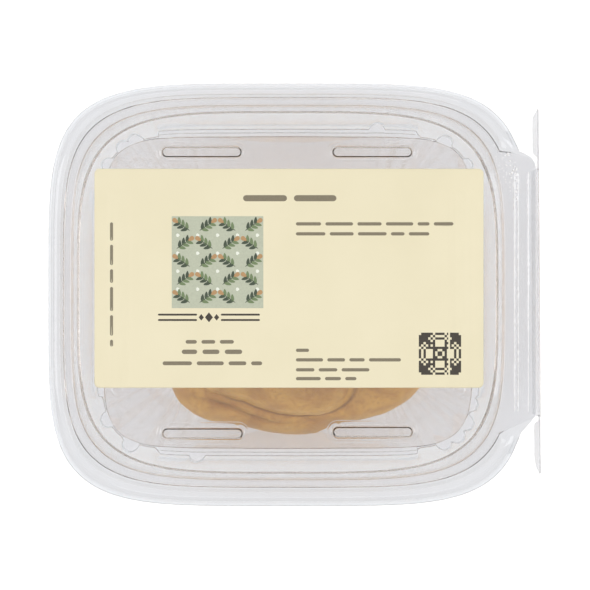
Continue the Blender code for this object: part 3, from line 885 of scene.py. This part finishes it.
def makeDough(settings):
    made, tree = newMaterial("almondDough")
    place = addNode(tree, "TexCoord")
    streaks = addNode(tree, "TexNoise", {}, {
        "Vector": place.outputs["Object"], "Scale": 1 / (settings["patch"] * mm), "Detail": 4.0,
        "Roughness": 0.6, "Distortion": 1.2})
    tone = addNode(tree, "ValToRGB", {}, {"Fac": streaks.outputs["Fac"]})
    for end, position, name in zip(tone.color_ramp.elements, settings["patchRange"], ("mid", "light")):
        end.position, end.color = position, linearColour(settings[name])
    specks = addNode(tree, "TexNoise", {}, {
        "Vector": place.outputs["Object"], "Scale": 1 / (settings["speck"] * mm), "Detail": 2.0})
    low, high = settings["speckRange"]
    speckMask = addNode(tree, "MapRange", {}, {
        "Value": specks.outputs["Fac"], "From Min": low, "From Max": high, "To Max": settings["speckShare"]})
    speckled = addNode(tree, "Mix", colourMix, {
        "Factor": speckMask.outputs[0], 6: tone.outputs["Color"], 7: linearColour(settings["dark"])})
    # foldShade carries painted shade: darker in the creases, under the flap's edge and along the front roll
    folds = addNode(tree, "Attribute", {"attribute_name": "foldShade"})
    shaded = addNode(tree, "Mix", colourMix, {
        "Factor": folds.outputs["Fac"], 6: speckled.outputs[2], 7: linearColour(settings["fold"])})
    relief = addGrain(tree, place, settings["grit"], settings["gritHeight"], 3.0, roughness=0.55)
    dough = addNode(tree, "BsdfPrincipled", {}, {
        "Base Color": shaded.outputs[2], "Roughness": settings["roughness"], "IOR": settings["ior"],
        "Subsurface Weight": 0.35, "Subsurface Radius": (1.0, 0.55, 0.25), "Subsurface Scale": 0.0016,
        "Normal": relief})
    addNode(tree, "OutputMaterial", {}, {"Surface": dough.outputs[0]})
    return made


def between(values, position):
    # smooth curve through the rows of values (Catmull-Rom)
    i = min(int(position), len(values) - 2)
    t = position - i
    a, b, c, d = (values[min(max(i + k, 0), len(values) - 1)] for k in (-1, 0, 1, 2))
    return [
        0.5 * (2 * q + (r - p) * t + (2 * p - 5 * q + 4 * r - s) * t * t + (3 * q - p - 3 * r + s) * t ** 3)
        for p, q, r, s in zip(a, b, c, d)
    ]


def measuredRim(angle, middle, outline, front, ease):
    # the outline, drawn in or out to the measured points over the front and eased back to itself behind them
    plain = outlinePoint(angle, outline)
    shares = []
    for x, y in front:
        point = Vector((x, y)) - middle
        around = math.atan2(point.y, point.x)
        shares.append((around, point.length / outlinePoint(around, outline).length))
    angle = math.remainder(angle, 2 * math.pi)
    if shares[0][0] <= angle <= shares[-1][0]:
        for (a, low), (b, high) in zip(shares, shares[1:]):
            if a <= angle <= b:
                return plain * (low + (high - low) * ((angle - a) / (b - a)))
    for around, share in (shares[0], shares[-1]):
        away = abs(math.remainder(angle - around, 2 * math.pi))
        if away < ease:
            return plain * (share + (1 - share) * smoothStep(away, 0, ease))
    return plain


# creases in the dough: depth, width, and the points of each, in mm
creaseSettings = [
    (0.9, 0.7, [(-27.5, -28.2), (-21.5, -29.4), (-16.5, -30.9), (-10.5, -33.9), (-4.3, -35.8), (1.0, -35.8)]),
    (0.6, 0.5, [(4.6, -33.6), (5.6, -34.6), (5.2, -35.6)]),
    (0.5, 0.5, [(5.6, -34.4), (7.2, -35.0), (8.0, -36.0)]),
    (0.8, 1.6, [(-24.0, -20.0), (-12.0, -14.0), (2.0, -12.0), (12.0, -16.0)]),
    (1.1, 1.5, [(22.0, 18.0), (10.0, 22.5), (-8.0, 23.0), (-22.0, 17.0)]),
    (1.0, 1.3, [(36.0, -8.0), (33.0, 4.0), (34.0, 16.0)]),
    (0.9, 1.4, [(-34.0, -10.0), (-32.5, 2.0), (-34.0, 12.0)]),
]


def creaseAt(x, y):
    deepest, nearest = 0.0, 0.0
    for depth, width, points in creaseSettings:
        best = math.inf
        total = len(points) - 1
        for i, (start, end) in enumerate(zip(points, points[1:])):
            dx, dy = end[0] - start[0], end[1] - start[1]
            t = min(max(((x - start[0]) * dx + (y - start[1]) * dy) / (dx * dx + dy * dy), 0.0), 1.0)
            away = math.hypot(x - start[0] - t * dx, y - start[1] - t * dy)
            fade = math.sin(math.pi * min(max((i + t) / total, 0.02), 0.98)) ** 0.5
            best = min(best, away + (1 - fade) * 2 * width)
        if best < 4 * width:
            here = math.exp(-(best / width) ** 1.4)
            deepest += depth * here
            nearest = max(nearest, here * min(depth, 1.0))
    return deepest, nearest


def pasteColumn(angle, settings):
    # from the top's middle out to the flap's edge, under it to the roll, and down round the foot
    ease = settings["frontEase"]
    front = smoothStep(-math.sin(angle), -0.35, 0.55)
    flapRim = measuredRim(angle, settings["flapMiddle"], settings["flap"], settings["flapFront"], ease)
    footRim = measuredRim(angle, settings["footMiddle"], settings["foot"], settings["footFront"], ease)
    column = []
    for j in range((len(settings["levels"]) - 1) * settings["rowsPerLevel"] + 1):
        share, scale, frontHeight, backHeight = between(settings["levels"], j / settings["rowsPerLevel"])
        flap = settings["flapMiddle"] + flapRim * scale
        foot = settings["footMiddle"] + footRim * scale
        place = flap.lerp(foot, min(max(share, 0.0), 1.0))
        column.append(Vector((place.x, place.y, front * frontHeight + (1 - front) * backHeight)))
    return column


bm = bmesh.new()
count = pasteSettings["columns"]
rows = skin(bm, [pasteColumn(2 * math.pi * i / count, pasteSettings) for i in range(count)])
bm.faces.new([row[0] for row in rows])
bm.faces.new([row[-1] for row in rows][::-1])
bmesh.ops.recalc_face_normals(bm, faces=bm.faces)
bm.normal_update()
bm.verts.index_update()
moves, shades = [None] * len(bm.verts), [0.0] * len(bm.verts)
for row in rows:
    for j, vert in enumerate(row):
        x, y, z = vert.co
        upper = smoothStep(z, 8, 20)
        depth, nearness = creaseAt(x, y)
        depth *= smoothStep(vert.normal.z, -0.1, 0.3)
        lumps = sum(height * noise.noise(Vector((x, y, z + lift)) / size)
                    for height, size, lift in pasteSettings["lumps"])
        moves[vert.index] = vert.normal * (upper * lumps - upper * depth)
        level = j / pasteSettings["rowsPerLevel"]
        # painted shade, kept in foldShade: darker near the creases, in the hollow under the flap's edge and along
        # the front roll
        hollow = smoothStep(-y, 22, 30) * smoothStep(x, -21, -14) * bell(level, 6.1, 0.22)  # under the flap's edge
        roll = 0.13 * smoothStep(-y, 32.5, 36.0)
        shades[vert.index] = min(1.0, upper * (0.45 * nearness + 0.7 * hollow + roll))
for vert, move in zip(bm.verts, moves):
    vert.co += move
paste = addPiece("almondPaste", bm, makeDough(doughSettings), ["almond_paste"])
attribute = paste.data.attributes.new("foldShade", "FLOAT", "POINT")
attribute.data.foreach_set("value", shades)
print("paste made:", len(paste.data.polygons), "faces")


labelSettings = {
    "size": (101.6, 57.2),     # a stock label of 4 by 2 1/4 inches
    "middle": (0.35, 3.7),
    "corner": 1.3,
    "sheet": 0.16,
    "lift": 0.04,         # mm over the lid
    "step": 0.8,
    "cornerSteps": 4,
    "ribEdge": (-0.3, 1.3),    # mm out from a rib's wall, over which the paper comes down
    "unevenness": 0.05,
}

# Satin coated paper: short fibres under a clay coat, a soft sheen, a warm cream print.
paperSettings = {
    "cream": "#F0E6C5",
    "shade": "#ECE2C0",
    "cloud": 22.0,        # mm
    "cloudRange": (0.35, 0.7),
    "fibre": 0.35,        # mm
    "fibreHeight": 0.006,
    "roughness": 0.46,
    "ior": 1.5,
}


def makePaper(name, settings):
    made, tree = newMaterial(name)
    place = addNode(tree, "TexCoord")
    cloud = addNode(tree, "TexNoise", {}, {
        "Vector": place.outputs["Object"], "Scale": 1 / (settings["cloud"] * mm), "Detail": 3.0})
    tone = addNode(tree, "ValToRGB", {}, {"Fac": cloud.outputs["Fac"]})
    for end, position, name in zip(tone.color_ramp.elements, settings["cloudRange"], ("shade", "cream")):
        end.position, end.color = position, linearColour(settings[name])
    relief = addGrain(tree, place, settings["fibre"], settings["fibreHeight"], 3.0)
    paper = addNode(tree, "BsdfPrincipled", {}, {
        "Base Color": tone.outputs["Color"], "Roughness": settings["roughness"], "IOR": settings["ior"],
        "Normal": relief})
    addNode(tree, "OutputMaterial", {}, {"Surface": paper.outputs[0]})
    return made


def labelHeight(x, y):
    # the paper lies on the lid, rides over the two low ribs, and is not quite flat
    height = lidSettings["top"] + labelSettings["lift"]
    for ribX, ribY, length, width, rise, across in lidSettings["ribs"][4:]:
        beside = 1 - smoothStep(abs(x - ribX) - width / 2, *labelSettings["ribEdge"])
        within = 1 - smoothStep(abs(y - ribY) - length / 2, *labelSettings["ribEdge"])
        height += (rise + 0.02) * beside * within
    return height + labelSettings["unevenness"] * (noise.noise(Vector((x / 17, y / 12, 3.0))) + 0.6)


def cornerPull(x, y, halfX, halfY, radius):
    # moves a grid point of the rectangle's rim onto its round corners
    overX, overY = abs(x) - (halfX - radius), abs(y) - (halfY - radius)
    if overX > 0 and overY > 0:
        scale = max(overX, overY) / math.hypot(overX, overY)
        x = math.copysign(halfX - radius + overX * scale, x)
        y = math.copysign(halfY - radius + overY * scale, y)
    return x, y


def gridStops(half, settings):
    # along one side of the label, closer together over its round corners
    corner, steps = settings["corner"], settings["cornerSteps"]
    plain = 2 * half - 2 * corner
    inner = int(plain / settings["step"])
    stops = [-half + corner * i / steps for i in range(steps)]
    stops += [-half + corner + plain * i / inner for i in range(inner + 1)]
    return stops + [half - corner + corner * i / steps for i in range(1, steps + 1)]


bm = bmesh.new()
halfX, halfY = labelSettings["size"][0] / 2, labelSettings["size"][1] / 2
middleX, middleY = labelSettings["middle"]
columns = []
for x in gridStops(halfX, labelSettings):
    column = []
    for y in gridStops(halfY, labelSettings):
        px, py = cornerPull(x, y, halfX, halfY, labelSettings["corner"])
        px, py = px + middleX, py + middleY
        column.append((px, py, labelHeight(px, py) + labelSettings["sheet"]))
    columns.append(column)
skin(bm, columns, closed=False)
turnUp(bm)
paper = makePaper("satinLabelPaper", paperSettings)
label = addPiece("labelSheet", bm, paper, ["label"])
# only the face is printed cream: the stock is white
label.data.materials.append(makePaper("whiteLabelBack", {**paperSettings, "cream": "#F4F3F0", "shade": "#F0EFEC"}))
addSheet(label, labelSettings["sheet"], -1.0).material_offset = 1
print("label made:", len(label.data.polygons), "faces")


# Offset inks, printed thin over the clay coat: slightly glossy, and a little uneven from the screen.
# Places are mm from the label's middle.
inkSettings = {
    "text": "#7C735E",
    "strong": "#3A3329",
    "leaf": "#6E7F58",
    "deepLeaf": "#3F4A38",
    "pale": "#B4B8A2",
    "nut": "#B08A5E",
    "light": "#E2E4D6",
}


def makeInk(name, colour):
    made, tree = newMaterial(name)
    place = addNode(tree, "TexCoord")
    screen = addNode(tree, "TexNoise", {}, {
        "Vector": place.outputs["Object"], "Scale": 1 / (0.4 * mm), "Detail": 2.0})
    base = linearColour(colour)
    lighter = [min(1.0, c * 1.25 + 0.012) for c in base[:3]] + [1.0]
    tone = addNode(tree, "Mix", colourMix, {"Factor": screen.outputs["Fac"], 6: base, 7: lighter})
    ink = addNode(tree, "BsdfPrincipled", {}, {
        "Base Color": tone.outputs[2], "Roughness": 0.4, "IOR": 1.5})
    addNode(tree, "OutputMaterial", {}, {"Surface": ink.outputs[0]})
    return made


def printShape(bm, outline, layer):
    # a flat shape of ink, just over the paper
    face = []
    for u, v in outline:
        x, y = u + middleX, v + middleY
        face.append(bm.verts.new((x, y, labelHeight(x, y) + labelSettings["sheet"] + 0.012 * layer)))
    made = bm.faces.new(face)
    made.normal_update()
    if made.normal.z < 0:
        made.normal_flip()


def dash(bm, u, v, length, height, upright=False):
    radius = height / 2
    outline = []
    for i in range(7):
        angle = -math.pi / 2 + math.pi * i / 6
        outline.append((length / 2 - radius + radius * math.cos(angle), radius * math.sin(angle)))
    outline += [(-a, -b) for a, b in outline]
    if upright:
        outline = [(-b, a) for a, b in outline]
    printShape(bm, [(u + a, v + b) for a, b in outline], 1)


def dashLine(bm, start, end, v, height, shortest, longest, draw, upright=False):
    # the words of a text line, as plain dashes
    at = start
    while at < end - shortest * 0.6:
        length = min(draw.uniform(shortest, longest), end - at)
        if upright:
            dash(bm, v, -(at + length / 2), length, height, True)
        else:
            dash(bm, at + length / 2, v, length, height)
        at += length + 0.9 * height + 0.35


draw = random.Random(5)
textInk = bmesh.new()
textLines = [  # start, end, middle height, thickness, shortest and longest word
    (-12.0, 12.4, 20.9, 1.6, 9.0, 13.0),
    (1.8, 43.2, 14.2, 0.85, 3.0, 7.5),
    (1.8, 37.4, 11.6, 0.85, 3.0, 8.0),
    (-27.0, -12.8, -16.6, 0.95, 2.4, 4.6),
    (-28.0, -12.0, -19.2, 1.15, 4.0, 6.0),
    (-33.0, -7.0, -22.2, 1.0, 4.0, 8.0),
    (1.8, 5.4, -18.8, 0.85, 3.4, 3.6),
    (1.8, 29.8, -21.3, 0.85, 4.0, 9.0),
    (1.8, 21.0, -23.9, 0.85, 4.0, 8.0),
    (1.8, 17.6, -26.2, 0.85, 3.0, 7.0),
]
for start, end, v, height, shortest, longest in textLines:
    dashLine(textInk, start, end, v, height, shortest, longest, draw)
dashLine(textInk, -14.6, 17.8, -46.3, 0.8, 2.8, 6.5, draw, upright=True)

strongInk = bmesh.new()
mosaic = {"left": 33.9, "low": -25.2, "size": 11.0, "cells": 18}
cell = mosaic["size"] / mosaic["cells"]
halfCells = mosaic["cells"] // 2
for i in range(halfCells):
    for j in range(i + 1):
        if draw.random() < 0.68:
            places = set()
            for a, b in ((i, j), (j, i)):
                for column in (a, mosaic["cells"] - 1 - a):
                    for row in (b, mosaic["cells"] - 1 - b):
                        places.add((column, row))
            for column, row in sorted(places):
                u, v = mosaic["left"] + column * cell, mosaic["low"] + row * cell
                printShape(strongInk, [(u, v), (u + cell, v), (u + cell, v + cell), (u, v + cell)], 1)

panel = {"left": -30.6, "low": -7.8, "width": 23.9, "height": 24.0, "cells": 12}
paleInk = bmesh.new()
stepU, stepV = panel["width"] / panel["cells"], panel["height"] / panel["cells"]
for i in range(panel["cells"]):  # the panel's ground, in cells that follow the paper
    for j in range(panel["cells"]):
        u = panel["left"] + panel["width"] * i / panel["cells"]
        v = panel["low"] + panel["height"] * j / panel["cells"]
        printShape(paleInk, [(u, v), (u + stepU, v), (u + stepU, v + stepV), (u, v + stepV)], 1)


def leafOutline(u, v, length, width, angle):
    points = []
    for i in range(16):
        t = 2 * math.pi * i / 16
        a = 0.5 * length * math.cos(t)
        b = 0.5 * width * math.sin(t) * (1 - 0.35 * math.cos(t))
        points.append((
            u + a * math.cos(angle) - b * math.sin(angle),
            v + a * math.sin(angle) + b * math.cos(angle)))
    return points


leafInk, deepInk, nutInk, lightInk = (bmesh.new() for i in range(4))


def sprig(u, v, lean, size, inks):
    # a stem with three pairs of leaves and an almond at its tip
    for k in (-1.2, 0.0, 1.2):
        for side in (-1, 1):
            cu, cv = u + size * k * math.cos(lean), v + size * k * math.sin(lean)
            turn = lean + side * 0.9
            ink = inks[0] if side > 0 else inks[1]
            out = 0.8 * size
            shape = leafOutline(cu + out * math.cos(turn), cv + out * math.sin(turn), 1.9 * size, 0.85 * size, turn)
            printShape(ink, shape, 3)
    printShape(inks[0], leafOutline(u, v, 4.2 * size, 0.26 * size, lean), 2)
    tipU, tipV = u + 2.5 * size * math.cos(lean), v + 2.5 * size * math.sin(lean)
    printShape(nutInk, leafOutline(tipU, tipV, 1.7 * size, 1.1 * size, lean + math.pi), 4)


for row in range(5):  # the panel's pattern: sprigs that lean to and fro, with light dots between
    for column in range(4):
        u = panel["left"] + 3.0 + 5.95 * column
        v = panel["low"] + 2.6 + 4.7 * row
        sprig(u, v, 0.6 if (row + column) % 2 else math.pi - 0.6, 1.0, (deepInk, leafInk))
for row in range(4):
    for column in range(5):
        u = panel["left"] + 1.6 + 5.2 * column
        v = panel["low"] + 4.95 + 4.7 * row
        printShape(lightInk, leafOutline(u, v, 0.9, 0.9, 0.0), 2)
for side in (-1, 1):  # the divider below: two rules with three lozenges between them
    for v in (-9.5, -10.9):
        dash(strongInk, -20.9 + side * 8.2, v, 10.2, 0.5)
for k in (-1, 0, 1):
    u, v, reach = -20.9 + 2.0 * k, -10.2, 1.3 - 0.45 * abs(k)
    printShape(strongInk, [(u - 0.8 * reach, v), (u, v - reach), (u + 0.8 * reach, v), (u, v + reach)], 1)
inks = {"text": textInk, "strong": strongInk, "pale": paleInk, "leaf": leafInk, "deepLeaf": deepInk,
        "nut": nutInk, "light": lightInk}
for colour, ink in inks.items():
    name = colour + "Ink"
    addPiece(name, ink, makeInk(name, inkSettings[colour]))
print("print made")


# White acrylic board, cast and matt: even and bright, with no sharp reflection.
stageSettings = {
    "floorSize": 1.6,       # m
    "boardTones": ("#F8F8F8", "#FCFCFC"),
    "overhead": "#D6D6D8",   # a broad soft light straight above
    "sky": "#BFC0C2",
    "sides": "#9C9A9A",      # horizon on the left and right
    "ends": "#989694",       # horizon in front and behind
    "skyStrength": 1.32,
    "boardGlow": 0.24,       # the white acrylic board is lit a little from below
}

made, tree = newMaterial("whiteAcrylicBoard")
place = addNode(tree, "TexCoord")
cloud = addNode(tree, "TexNoise", {}, {"Vector": place.outputs["Object"], "Scale": 6.0, "Detail": 2.0})
dull, bright = (linearColour(tone) for tone in stageSettings["boardTones"])
tone = addNode(tree, "Mix", colourMix, {"Factor": cloud.outputs["Fac"], 6: dull, 7: bright})
board = addNode(tree, "BsdfPrincipled", {}, {
    "Base Color": tone.outputs[2], "Roughness": 0.7, "Emission Color": linearColour("#FFFFFF"),
    "Emission Strength": stageSettings["boardGlow"]})
addNode(tree, "OutputMaterial", {}, {"Surface": board.outputs[0]})
bm = bmesh.new()
bmesh.ops.create_grid(bm, x_segments=1, y_segments=1, size=stageSettings["floorSize"])
mesh = bpy.data.meshes.new("table")
bm.to_mesh(mesh)
bm.free()
mesh.materials.append(made)
table = bpy.data.objects.new("table", mesh)
bpy.context.scene.collection.objects.link(table)

scene = bpy.context.scene
world = bpy.data.worlds.new("studio")
scene.world = world
world.use_nodes = True
tree = world.node_tree
tree.nodes.clear()
direction = addNode(tree, "TexCoord")
split = addNode(tree, "SeparateXYZ", {}, {"Vector": direction.outputs["Generated"]})
rise = addNode(tree, "MapRange", softRange, {
    "Value": split.outputs["Z"], "From Min": 0.0, "From Max": 0.7})
square = addNode(tree, "Math", {"operation": "POWER"}, {0: split.outputs["Y"], 1: 2.0})
endShare = addNode(tree, "MapRange", softRange, {
    "Value": square.outputs[0], "From Min": 0.15, "From Max": 0.6})
horizon = addNode(tree, "Mix", colourMix, {
    "Factor": endShare.outputs[0], 6: linearColour(stageSettings["sides"]), 7: linearColour(stageSettings["ends"])})
skyTone = addNode(tree, "Mix", colourMix, {
    "Factor": rise.outputs[0], 6: horizon.outputs[2], 7: linearColour(stageSettings["sky"])})
top = addNode(tree, "MapRange", softRange, {
    "Value": split.outputs["Z"], "From Min": 0.85, "From Max": 0.95})
lit = addNode(tree, "Mix", colourMix, {
    "Factor": top.outputs[0], 6: skyTone.outputs[2], 7: linearColour(stageSettings["overhead"])})
glow = addNode(tree, "Background", {}, {
    "Color": lit.outputs[2], "Strength": stageSettings["skyStrength"]})
addNode(tree, "OutputWorld", {}, {"Surface": glow.outputs[0]})

lampSettings = [  # name, place (m), width and height (m), watts
    ("leftSoftbox", (-0.75, 0.05, 0.55), (0.4, 0.9), 1.9),
    ("rightSoftbox", (0.75, 0.05, 0.55), (0.4, 0.9), 1.9),
    ("backSoftbox", (0.0, 0.9, 0.9), (0.9, 0.4), 1.3),
    ("frontSoftbox", (0.0, -0.9, 0.9), (0.9, 0.4), 1.3),
]
for name, place, size, watts in lampSettings:
    lamp = bpy.data.lights.new(name, "AREA")
    lamp.shape = "RECTANGLE"
    lamp.size, lamp.size_y = size
    lamp.energy = watts
    holder = bpy.data.objects.new(name, lamp)
    scene.collection.objects.link(holder)
    holder.location = place
    holder.rotation_euler = Vector(place).to_track_quat("Z", "Y").to_euler()

cameraSettings = {"place": (0.22, -0.67, 461.0), "lens": 96.0}
lens = bpy.data.cameras.new("camera")
lens.lens = cameraSettings["lens"]
lens.sensor_width = 36.0
lens.clip_start = 0.01
camera = bpy.data.objects.new("camera", lens)
scene.collection.objects.link(camera)
camera.location = Vector(cameraSettings["place"]) * mm
scene.camera = camera

scene.cycles.max_bounces = 64        # light that runs along inside the clear sheet turns many times
scene.cycles.transmission_bounces = 64
scene.cycles.glossy_bounces = 64
scene.cycles.transparent_max_bounces = 40
scene.cycles.caustics_reflective = False
scene.cycles.caustics_refractive = False
scene.view_settings.view_transform = "Standard"
print("table, light and camera placed")
